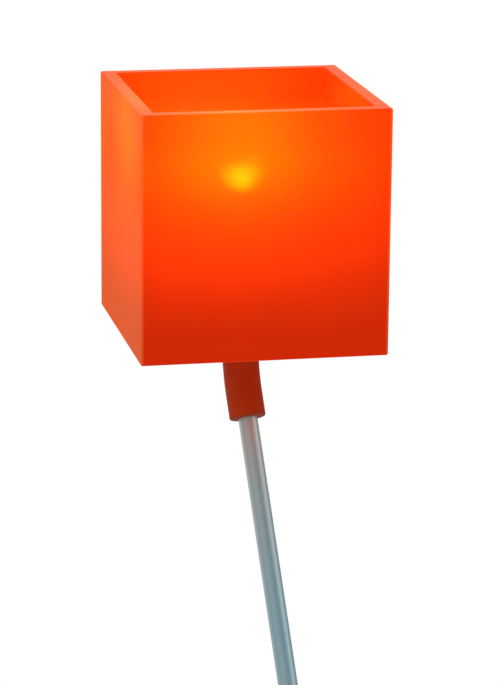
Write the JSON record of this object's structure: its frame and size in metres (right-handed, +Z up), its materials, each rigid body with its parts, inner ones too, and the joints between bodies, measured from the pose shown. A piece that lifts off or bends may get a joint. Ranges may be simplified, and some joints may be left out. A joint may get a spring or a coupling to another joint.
{
  "type": "leaning floor lamp",
  "caption": "Floor lamp: open translucent orange cube shade over a bulb, swivelling on a bent sleeve at the top of a slanted aluminium pole on a weighted round base.",
  "frame": {"origin": "centre of the base's underside, on the floor", "axes": "+Z up, and the cube's front face looks along -Y; the pole's foot lies towards -Y"},
  "size_m": [0.34, 0.5866, 1.1],
  "materials": {
    "shade_acrylic": "satin translucent acrylic, lit from inside",
    "elbow_plastic": "satin moulded plastic",
    "aluminium": "satin anodised",
    "silver_paint": "satin silver powder coat",
    "cast_iron": "raw casting",
    "foam": "closed-cell foam",
    "soft_rubber": "matt rubber",
    "silicone": "clear silicone",
    "brass": "turned brass",
    "zinc_steel": "zinc plated",
    "bright_steel": "drawn wire and solder",
    "acetal": "white acetal",
    "holder_white": "white thermoset",
    "ceramic": "glazed ceramic",
    "clear_glass": "clear blown glass",
    "black_glass": "black vitreous insulator",
    "tungsten": "glowing coil",
    "terminal_white": "nylon",
    "lead_sheath": "white sheath",
    "switch_black": "satin black",
    "chrome": "bright chrome"
  },
  "bodies": {
    "stand": {"swivel_bush": "acetal", "stop_screw": "zinc_steel", "elbow": "elbow_plastic", "elbow_screw": "zinc_steel", "pole": "aluminium", "pole_lead": "lead_sheath", "base_pad": "foam", "base_weight": "cast_iron", "pole_socket": "aluminium", "socket_screws": "zinc_steel", "socket_lock": "zinc_steel", "cable_grommet": "soft_rubber", "base_cover": "silver_paint", "cover_nuts": "zinc_steel", "terminal_block": "terminal_white", "switch_lead": "lead_sheath", "switch_body": "switch_black", "switch_nut": "chrome"},
    "head": {"shade": "shade_acrylic", "lower_washer": "silicone", "upper_washer": "silicone", "threaded_nipple": "zinc_steel", "clamp_nut": "zinc_steel", "swivel_spigot": "brass", "holder_cap": "holder_white", "holder_insert": "ceramic", "holder_sleeve": "brass", "holder_contact": "brass", "holder_shell": "holder_white"},
    "bulb": {"bulb_tip": "bright_steel", "bulb_insulator": "black_glass", "bulb_cap": "aluminium", "bulb_envelope": "clear_glass", "bulb_stem": "clear_glass", "bulb_wires": "bright_steel", "bulb_filament": "tungsten"},
    "foot_button": {"switch_button": "switch_black"}
  },
  "joints": [
    {"name": "head_swivel", "type": "hinge", "parent": "stand", "child": "head", "pos_m": [-0.04435, 0.31553, 0.9], "axis": [0, 0, 1], "range_deg": [-140, 140]},
    {"name": "bulb_change", "type": "slide", "parent": "head", "child": "bulb", "axis": [0, 0, 1], "range_m": [0, 0.15]},
    {"name": "switch_press", "type": "slide", "parent": "stand", "child": "foot_button", "axis": [0, 0, -1], "range_m": [0, 0.004], "stiffness_N_per_m": 600, "springref_m": -0.003}
  ]
}
